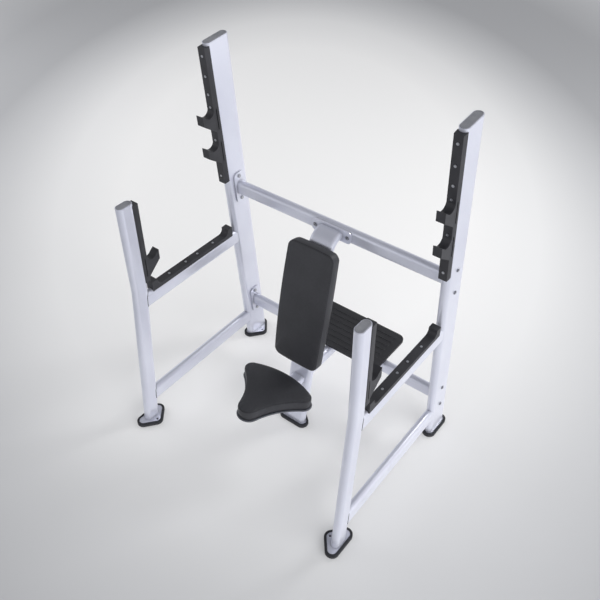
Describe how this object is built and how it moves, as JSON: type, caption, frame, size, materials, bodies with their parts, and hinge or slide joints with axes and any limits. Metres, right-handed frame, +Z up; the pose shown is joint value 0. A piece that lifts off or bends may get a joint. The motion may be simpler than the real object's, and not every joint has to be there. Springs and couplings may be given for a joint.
{
  "type": "seated olympic bench",
  "caption": "Seated olympic shoulder-press bench with silver flat-oval frames, black bar hooks, safety rails, upright back pad, saddle seat and spotter's platform.",
  "frame": {"origin": "on the floor, in the middle of the part's box", "axes": "+Z up, +Y to the back, where the spotter stands, +X to the lifter's left as they sit facing -Y"},
  "size_m": [1.212, 1.052, 1.7255],
  "materials": {
    "frame_paint": "gloss silver powder coat",
    "end_caps": "satin",
    "guard_polymer": "satin moulded",
    "rubber_feet": "matt",
    "tread_rubber": "matt ribbed",
    "seat_shell": "satin",
    "upholstery": "grained vinyl",
    "plywood": "black-stained plywood",
    "fasteners": "zinc plated"
  },
  "bodies": {
    "root": {"left_rear_upright": "frame_paint", "right_rear_upright": "frame_paint", "left_front_upright": "frame_paint", "right_front_upright": "frame_paint", "left_upper_rail": "frame_paint", "right_upper_rail": "frame_paint", "left_lower_rail": "frame_paint", "right_lower_rail": "frame_paint", "left_rear_cap": "end_caps", "right_rear_cap": "end_caps", "left_front_cap": "end_caps", "right_front_cap": "end_caps", "left_rear_base_plate": "frame_paint", "right_rear_base_plate": "frame_paint", "left_front_base_plate": "frame_paint", "right_front_base_plate": "frame_paint", "column_base_plate": "frame_paint", "left_rear_foot": "rubber_feet", "right_rear_foot": "rubber_feet", "left_front_foot": "rubber_feet", "right_front_foot": "rubber_feet", "column_foot": "rubber_feet", "left_bar_rack": "guard_polymer", "right_bar_rack": "guard_polymer", "left_front_guard": "guard_polymer", "right_front_guard": "guard_polymer", "left_rail_guard": "guard_polymer", "right_rail_guard": "guard_polymer", "upper_cross_beam": "frame_paint", "lower_cross_beam": "frame_paint", "upper_left_flange": "frame_paint", "upper_right_flange": "frame_paint", "lower_left_flange": "frame_paint", "lower_right_flange": "frame_paint", "back_column": "frame_paint", "column_flange": "frame_paint", "link_tube": "frame_paint", "link_flange": "frame_paint", "back_board": "plywood", "back_cushion": "upholstery", "seat_arm": "frame_paint", "seat_bracket": "frame_paint", "seat_tray": "seat_shell", "seat_board": "plywood", "seat_cushion": "upholstery", "platform_deck": "frame_paint", "platform_tread": "tread_rubber", "left_platform_bracket": "frame_paint", "right_platform_bracket": "frame_paint", "rack_screws": "fasteners", "front_guard_screws": "fasteners", "rail_guard_screws": "fasteners", "cross_beam_bolts": "fasteners", "cross_beam_nuts": "fasteners", "flange_bolts": "fasteners", "flange_nuts": "fasteners", "back_pad_bolts": "fasteners", "seat_bolts": "fasteners", "platform_bolts": "fasteners"}
  },
  "joints": []
}
